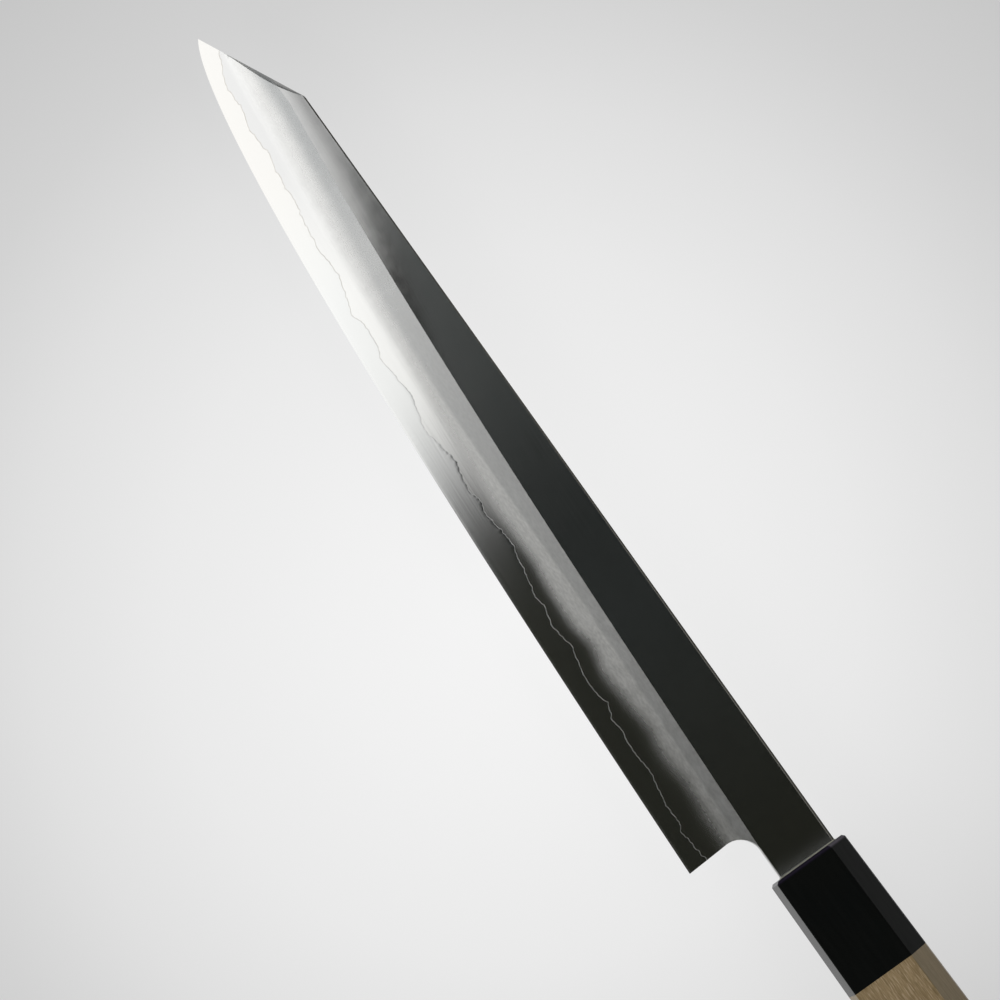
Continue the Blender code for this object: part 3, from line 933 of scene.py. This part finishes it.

# %% [markdown]
# ## The spine
# The spine gets painted shade: a dark, dull and patchy material of its own, which is no metal.
# The faces that look up along the spine take it.

# %% Painted spine shade, and the finishes of the three layers
def make_spine_shade():
    # The spine's painted shade: dark, patchy and without gloss.
    material, nodes = start_material("spine_painted_shade")
    place = nodes.place()
    strokes = lines(nodes, place, 2600.0, 12.0)
    values = {
        "Base Color": nodes.mix(cloud(nodes, place, 320.0), (0.042, 0.041, 0.039), (0.085, 0.079, 0.068)),
        "Roughness": nodes.mix(strokes, 0.55, 0.8),
        "Specular IOR Level": 0.0,
        "Normal": nodes.bump(strokes, 0.000006),
    }
    return finish(material, nodes, values)


def dress(piece, *materials):
    piece.data.materials.clear()
    for material in materials:
        piece.data.materials.append(material)


spine_painted_shade = make_spine_shade()
upwards = TO_BLADE.to_3x3() @ Vector((0, 1, 0))
for piece, material, node, slot in (
    (cladding_left, cladding_steel, "cladding_left", "clad_steel"),
    (cladding_right, cladding_steel, "cladding_right", "clad_steel"),
    (core, core_steel, "blade_core", "core_steel"),
):
    dress(piece, material, spine_painted_shade)
    for face in piece.data.polygons:
        ahead, up, side = off_blade(face.center)
        on_spine = face.normal.dot(upwards) > 0.85 and up > -0.0006 and ahead < CLIP_AHEAD - 0.0005
        face.material_index = 1 if on_spine else 0
    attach(piece, "root")
    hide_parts(node)
# The count is of the faces that take the painted spine shade.
print("faces with scale:", [sum(face.material_index for face in layer.data.polygons) for layer in layers])

# %% [markdown]
# ## The handle's two blocks
# The ferrule and the wooden body are planed together into one long octagon that widens towards the
# butt. It has two wide faces, four steep ones and two narrow flats. Each block is lofted like the
# blade, through three sections of eight points, and its corners are eased with a bevel.

# %% The octagon
HANDLE_LENGTH = body_high.x - HANDLE_FRONT.x
FERRULE_LENGTH = ferrule_high.x - HANDLE_FRONT.x
FRONT_CHAMFER = 0.00075
BUTT_ROUND = 0.0012
JOINT_GAP = 0.00001


def octagon(along, inset):
    """The eight corners of the handle's section, as up and side."""
    share = along / HANDLE_LENGTH
    half_height = (0.0246 + 0.0040 * share) / 2 - inset
    half_width = (0.0184 + 0.0026 * share) / 2 - inset
    narrow_half = (0.0015 + 0.0003 * share) / 2
    wide_half = half_height - 0.00335 - 0.00055 * share
    quarter = [(half_height, narrow_half), (wide_half, half_width)]
    left = quarter + [(-up, side) for up, side in reversed(quarter)]
    return left + [(-up, -side) for up, side in left]


def octagon_block(name, *sections):
    """A block of the handle, lofted through sections given as (along, inset)."""
    return lofted(name, [[on_handle(along, *corner) for corner in octagon(along, inset)] for along, inset in sections])


front = (0.0, FRONT_CHAMFER), (FRONT_CHAMFER, 0.0)
butt = (HANDLE_LENGTH - BUTT_ROUND, 0.0), (HANDLE_LENGTH, BUTT_ROUND)
ferrule = octagon_block("horn_ferrule", *front, (FERRULE_LENGTH - JOINT_GAP, 0.0))
body = octagon_block("wooden_body", (FERRULE_LENGTH, 0.0), *butt)
print("blocks:", count(ferrule, body))

# %% Ease the corners
def ease(piece, width, segments, chosen):
    """Bevels the edges that chosen(first, second) picks by how far along their two ends are."""
    reach = [vertex.co.x - HANDLE_FRONT.x for vertex in piece.data.vertices]
    pick_edges(piece, lambda first, second: chosen(reach[first], reach[second]))
    bpy.ops.mesh.bevel(offset=width, segments=segments, profile=0.5, affect="EDGES", clamp_overlap=True)
    leave_edit()


butt_start = HANDLE_LENGTH - BUTT_ROUND - 0.0001
ease(ferrule, 0.0003, 3, lambda first, second: abs(first - second) > 0.01)
ease(ferrule, 0.00014, 2, lambda first, second: max(first, second) < 1.02 * FRONT_CHAMFER)
ease(body, 0.0003, 3, lambda first, second: abs(first - second) > 0.01 or min(first, second) > butt_start)
print("corners eased:", count(ferrule, body))

# %% [markdown]
# ## Hollowing the blocks
# The dowel and the resin fill the middle of the handle, so both blocks are hollow there. A drill
# makes the round hole and a chisel the slot, with a little play for the glue.

# %% Drill and chisel
PLAY = 0.0003


def drill(piece, start, end, radius):
    """The round hole for the dowel."""
    middle = on_handle((start + end) / 2, 0, 0)
    bpy.ops.mesh.primitive_cylinder_add(
        vertices=64, radius=radius, depth=end - start, location=middle, rotation=(0, math.pi / 2, 0)
    )
    cut(bpy.context.active_object, piece)


def chisel(piece, start, end, high, wide):
    """The slot for the tang and its resin."""
    cut(block(lambda x, y, z: (end if x > 0 else start, math.copysign(high, y), math.copysign(wide, z))), piece)


def from_front(x):
    return x - HANDLE_FRONT.x


dowel_low, dowel_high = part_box("dowel")
resin_low, resin_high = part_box("tang_resin")
bore_radius = (dowel_high.y - dowel_low.y) / 2 + PLAY
bore_start, bore_end = from_front(dowel_low.x) - PLAY, from_front(dowel_high.x) + PLAY
drill(ferrule, bore_start, FERRULE_LENGTH + BEYOND, bore_radius)
drill(body, FERRULE_LENGTH - BEYOND, bore_end, bore_radius)
chisel(ferrule, -BEYOND, bore_start + BEYOND, 0.0048, 0.0015)
chisel(body, bore_end - BEYOND, from_front(resin_high.x) + PLAY, 0.0056, 0.0023)

for piece in (ferrule, body):
    edit(piece)
    bpy.ops.mesh.remove_doubles(threshold=0.000001)
    leave_edit()
    bpy.ops.object.shade_smooth_by_angle(angle=math.radians(40))
    weighted = piece.modifiers.new("even_faces", "WEIGHTED_NORMAL")
    weighted.keep_sharp = True
    bpy.ops.object.modifier_apply(modifier=weighted.name)
    for name, number in (
        ("steep", lambda normal: limited((0.97 - abs(normal.z)) / 0.3)),
        ("spinewards", lambda normal: limited(1.6 * normal.y)),
    ):
        numbers = [number(face.normal) for face in piece.data.polygons]
        piece.data.attributes.new(name, "FLOAT", "FACE").data.foreach_set("value", numbers)
print("blocks hollowed:", count(ferrule, body))

# %% [markdown]
# ## The resin bead at the neck
# Where the blade enters the ferrule, the resin that holds the tang shows as a hair thin bead. Its
# pale colour is a painted highlight for the lit line at the neck's foot. It is lofted once round
# the neck's outline, and its first and last section are merged.

# %% The bead
BEAD = 0.00026
BEAD_FOOT = 0.00001
BEAD_PROFILE = ((0.0, 0.0), (1.0, 0.0), (0.92, 0.38), (0.71, 0.71), (0.38, 0.92), (0.0, 1.0))
CORNER_STEPS = 6


def neck_outline():
    """Points round the neck at the handle, as (up, side, outward up, outward side)."""
    points = []
    for quarter, (up, side) in enumerate(((0.0, 1), (-NECK_HEIGHT, 1), (-NECK_HEIGHT, -1), (0.0, -1))):
        radius = SPINE_ROUND if up == 0.0 else NECK_ROUND
        centre = (up + (-radius if up == 0.0 else radius), side * (flat_half(0.0) - radius))
        for step in range(CORNER_STEPS + 1):
            turn = math.radians(90 * quarter + 15 * step)
            outward = (math.cos(turn), math.sin(turn))
            points.append((centre[0] + radius * outward[0], centre[1] + radius * outward[1], *outward))
    return points


def bead_ring(up, side, out_up, out_side):
    ring = []
    for reach, along in BEAD_PROFILE:
        reach, along = max(reach * BEAD, BEAD_FOOT), max(along * BEAD, BEAD_FOOT)
        point = on_blade(0.0, up + reach * out_up, side + reach * out_side)
        ring.append(Vector((HANDLE_FRONT.x - along, point.y, point.z)))
    return ring


def make_resin(name, per_metre, dark, pale, rough):
    """Cloudy cast resin."""
    material, nodes = start_material(name)
    puff = cloud(nodes, nodes.place(), per_metre)
    return finish(material, nodes, {"Base Color": nodes.mix(puff, dark, pale), "Roughness": nodes.mix(puff, *rough)})


outline = neck_outline()
bead = lofted("resin_bead", [bead_ring(*point) for point in outline + outline[:1]])
only(bead)
bpy.ops.object.shade_smooth_by_angle(angle=math.radians(50))
# The bead's pale colour is a painted highlight for the lit line at the neck's foot.
dress(bead, make_resin("bead_resin_painted_highlight", 500.0, (0.20, 0.195, 0.15), (0.34, 0.33, 0.27), (0.35, 0.55)))
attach(bead, "root")
print("bead:", len(bead.data.polygons), "faces")

# %% [markdown]
# ## The finish of the horn
# The ferrule is black horn, sanded fine and oiled. It looks nearly black from above, with a soft
# gloss, and its fibres are faint grey streaks along the handle. Its front edge has a painted violet
# highlight, palest on the spine side, and the steep side under the spine is duller. Plain black
# would look flat, so the streaks change both the colour and the relief.

# %% Horn
def make_horn():
    material, nodes = start_material("black_horn")
    place = nodes.place()
    fine = lines(nodes, place, 1800.0, 12.0, 1.0)
    colour = nodes.mix(lines(nodes, place, 700.0, 14.0, 2.0), (0.0030, 0.0037, 0.0035), (0.0064, 0.0071, 0.0067))
    colour = nodes.mix(nodes.times(cloud(nodes, place, 70.0), 0.3), colour, (0.0070, 0.0068, 0.0056))
    along = nodes.add("SeparateXYZ", {0: place}).outputs["X"]
    front = HANDLE_FRONT.x
    # The front chamfer gets a painted violet highlight, palest on the spine side.
    chamfer_highlight_mask = nodes.ramp(along, front + 0.0007, front + 0.0012, 1.0, 0.0)
    chamfer_highlight_mask = nodes.times(chamfer_highlight_mask, nodes.ramp(along, front, front + 0.0002))
    palm_side = nodes.stored("spinewards")
    violet_painted_highlight = nodes.mix(palm_side, (0.0105, 0.0078, 0.0160), (0.060, 0.052, 0.066))
    values = {
        "Base Color": nodes.mix(chamfer_highlight_mask, colour, violet_painted_highlight),
        "Roughness": nodes.mix(palm_side, nodes.mix(fine, 0.12, 0.22), nodes.mix(fine, 0.46, 0.60)),
        "Normal": nodes.bump(fine, 0.000003),
        "IOR": 1.19,
        "Specular Tint": (0.1, 0.1, 0.1),
    }
    return finish(material, nodes, values)


dress(ferrule, make_horn())
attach(ferrule, "root")
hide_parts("ferrule")
print("horn set on", ferrule.name)

# %% [markdown]
# ## The finish of the wood
# The body is magnolia, darkened by oil and use. Its grain is fine and straight, with short open
# pores and pale flecks. The wide faces are open grained and matte, and the steep ones, which the
# hand polishes, are smoother; they are also painted greyer and darker, as shade. Stretched noise
# gives the grain at three widths, and a number stored in the faces tells wide from steep.

# %% Wood
def darker(colour, share):
    return tuple(value * share for value in colour)


def make_wood(name, dark, pale, fleck):
    material, nodes = start_material(name)
    place, steep = nodes.place(), nodes.stored("steep")
    bands = lines(nodes, place, 300.0, 14.0, 2.0)
    grain = lines(nodes, place, 1900.0, 12.0, 2.0)
    flecks = lines(nodes, place, 3000.0, 8.0, 1.0)
    open_grain = nodes.ramp(steep, 0.0, 1.0, 1.0, 0.3)
    pale_flecks = nodes.times(nodes.ramp(flecks, 0.54, 0.70, 0.0, 0.55), open_grain)
    pores = nodes.times(nodes.ramp(flecks, 0.44, 0.30, 0.0, 0.45), open_grain)
    colour = nodes.mix(nodes.ramp(nodes.mix(0.6, bands, grain), 0.36, 0.64), dark, pale)
    colour = nodes.mix(pale_flecks, colour, fleck)
    colour = nodes.mix(pores, colour, darker(dark, 0.55))
    colour = nodes.mix(nodes.times(cloud(nodes, place, 90.0), 0.2), colour, darker(dark, 0.8))
    # Painted shade: the steep faces turn greyer and darker.
    greyer_painted_shade = darker((dark[1] * 1.14, dark[1], dark[1] * 0.66), 0.80)
    relief = nodes.math("SUBTRACT", nodes.times(grain, open_grain), pores)
    values = {
        "Base Color": nodes.mix(nodes.times(steep, 0.5), colour, greyer_painted_shade),
        "Roughness": nodes.mix(steep, nodes.mix(grain, 0.50, 0.66), nodes.mix(grain, 0.28, 0.36)),
        "Normal": nodes.bump(relief, 0.00003, 0.8),
        "IOR": 1.28,
    }
    return finish(material, nodes, values)


dress(body, make_wood("magnolia", (0.202, 0.142, 0.070), (0.306, 0.226, 0.124), (0.46, 0.36, 0.24)))
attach(body, "root")
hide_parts("handle_body")
print("wood set on", body.name)

# %% [markdown]
# ## The hidden pieces
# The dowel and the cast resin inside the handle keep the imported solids. A cut through the handle
# would show them, so they get finishes of their own: turned wood and cloudy amber resin.

# %% Dowel and resin
dowel_wood = make_wood("dowel_wood_finish", (0.36, 0.25, 0.13), (0.55, 0.42, 0.25), (0.62, 0.50, 0.33))
amber = make_resin("cast_resin", 240.0, (0.30, 0.19, 0.07), (0.42, 0.30, 0.14), (0.25, 0.4))
for node, material in (("dowel", dowel_wood), ("tang_resin", amber)):
    for material_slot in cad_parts[node].material_slots:
        material_slot.material = material
print("hidden pieces finished")
